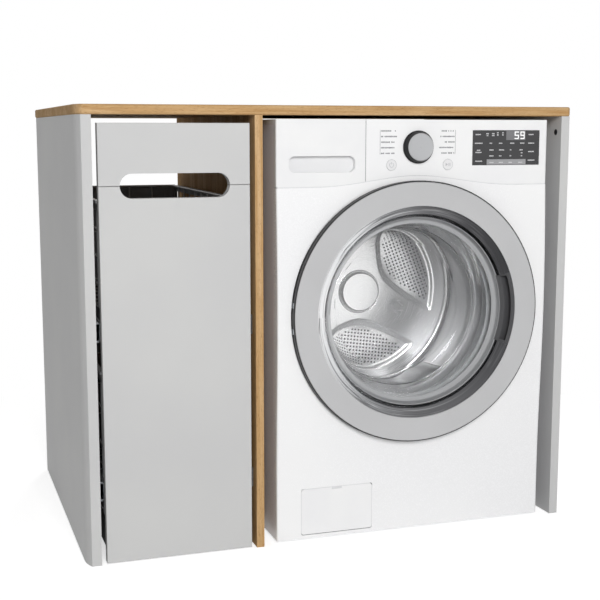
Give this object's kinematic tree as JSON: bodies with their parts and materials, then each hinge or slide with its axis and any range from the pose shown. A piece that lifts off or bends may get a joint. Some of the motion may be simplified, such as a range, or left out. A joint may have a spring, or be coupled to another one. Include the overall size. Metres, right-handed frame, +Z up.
{
  "type": "laundry cabinet with washing machine",
  "caption": "Laundry cabinet with an oak worktop and divider, grey panels, a pull-out wire hamper and a front-loading washing machine with a glass door, drum, knob and drawer.",
  "frame": {"origin": "on the floor, in the middle of the overall width and depth", "axes": "+X to the right as seen from the front, +Y to the rear, +Z up; the front faces -Y"},
  "size_m": [1.204, 0.828, 1.02],
  "materials": {
    "oak": "oiled oak veneer",
    "grey_lacquer": "light grey matt lacquer on board",
    "zinc": "bright zinc plate",
    "dark_steel": "dark grey powder coat",
    "basket_wire": "grey powder-coated wire",
    "white_enamel": "white enamel",
    "white_plastic": "white, satin gloss",
    "silver_plastic": "satin silver lacquer",
    "dark_plastic": "dark grey, satin",
    "bezel_chrome": "dark chrome",
    "clear_glass": "clear pressed glass",
    "display_glass": "smoked window",
    "rubber_grey": "grey seal rubber",
    "rubber_black": "black rubber",
    "stainless": "bright stainless steel",
    "grey_plastic": "moulded grey plastic",
    "concrete": "cast concrete",
    "aluminium": "cast aluminium",
    "motor_iron": "laminated iron with winding",
    "board_green": "coated circuit board"
  },
  "bodies": {
    "cabinet": {"worktop": "oak", "left_side_panel": "grey_lacquer", "right_side_panel": "grey_lacquer", "divider_panel": "oak", "rear_rails": "grey_lacquer", "panel_connectors": "zinc", "runner_cabinet_members": "zinc"},
    "runner_middle": {"runner_middle_members": "zinc"},
    "hamper": {"hamper_front_lower": "grey_lacquer", "hamper_front_upper": "grey_lacquer", "front_joiners": "zinc", "hamper_side_rails": "dark_steel", "hamper_uprights": "dark_steel", "hamper_base_plate": "dark_steel", "hamper_rear_plate": "dark_steel", "basket_upper": "basket_wire", "basket_lower": "basket_wire", "runner_drawer_members": "zinc"},
    "washer": {"washer_wrap": "white_enamel", "washer_top": "white_enamel", "washer_front_panel": "white_enamel", "washer_base_pan": "zinc", "washer_feet": "rubber_black", "washer_rear_cover": "white_enamel", "control_fascia": "white_plastic", "control_board": "board_green", "display_window": "display_glass", "drawer_housing": "grey_plastic", "door_lock": "dark_plastic", "door_hinge_bracket": "zinc", "door_gasket": "rubber_grey", "tub_front": "grey_plastic", "tub_rear": "grey_plastic", "main_bearings": "stainless", "motor_stator": "motor_iron", "counterweight": "concrete", "suspension_springs": "zinc", "tub_dampers": "dark_plastic", "drain_pump": "grey_plastic", "inlet_valve": "white_plastic", "drain_outlet": "grey_plastic"},
    "door": {"door_frame": "dark_plastic", "door_ring": "silver_plastic", "door_bezel": "bezel_chrome", "door_grip": "dark_plastic", "door_glass": "clear_glass", "door_retainer": "grey_plastic", "door_latch_hook": "zinc"},
    "drum": {"drum_shell": "stainless", "drum_rear": "stainless", "drum_lifters": "stainless", "drum_spider": "aluminium", "motor_rotor": "motor_iron"},
    "detergent_drawer": {"drawer_front": "white_plastic", "drawer_tray": "grey_plastic"},
    "knob": {"program_knob": "silver_plastic"},
    "power_key": {"power_button": "white_plastic"},
    "start_key": {"start_button": "white_plastic"},
    "flap": {"filter_flap": "white_plastic"},
    "filter": {"filter_cap": "dark_plastic"}
  },
  "joints": [
    {"name": "hamper_slide", "type": "slide", "parent": "cabinet", "child": "hamper", "axis": [0, -1, 0], "range_m": [0, 0.6]},
    {"name": "runner_middle_slide", "type": "slide", "parent": "cabinet", "child": "runner_middle", "axis": [0, -1, 0], "range_m": [0, 0.3]},
    {"name": "washer_pull_out", "type": "slide", "parent": "cabinet", "child": "washer", "axis": [0, -1, 0], "range_m": [0, 0.7]},
    {"name": "door_hinge", "type": "hinge", "parent": "washer", "child": "door", "pos_m": [-0.119, -0.404, 0.539], "axis": [0, 0, -1], "range_deg": [0, 95]},
    {"name": "drum_spin", "type": "hinge", "parent": "washer", "child": "drum", "pos_m": [0.186, 0, 0.539], "axis": [0, -1, 0], "continuous": true},
    {"name": "drawer_slide", "type": "slide", "parent": "washer", "child": "detergent_drawer", "axis": [0, -1, 0], "range_m": [0, 0.22]},
    {"name": "knob_turn", "type": "hinge", "parent": "washer", "child": "knob", "pos_m": [0.18848, -0.386, 0.926], "axis": [0, -1, 0], "continuous": true},
    {"name": "power_press", "type": "slide", "parent": "washer", "child": "power_key", "axis": [0, 1, 0], "range_m": [0, 0.0015], "stiffness_N_per_m": 400},
    {"name": "start_press", "type": "slide", "parent": "washer", "child": "start_key", "axis": [0, 1, 0], "range_m": [0, 0.0015], "stiffness_N_per_m": 400},
    {"name": "flap_hinge", "type": "hinge", "parent": "washer", "child": "flap", "pos_m": [-0.008, -0.381, 0.024], "axis": [1, 0, 0], "range_deg": [0, 90]},
    {"name": "filter_turn", "type": "hinge", "parent": "washer", "child": "filter", "pos_m": [-0.008, -0.34, 0.073], "axis": [0, -1, 0], "range_deg": [0, 90]}
  ],
  "couplings": [
    {"joint": "runner_middle_slide", "follows": "hamper_slide", "ratio": 0.5}
  ]
}
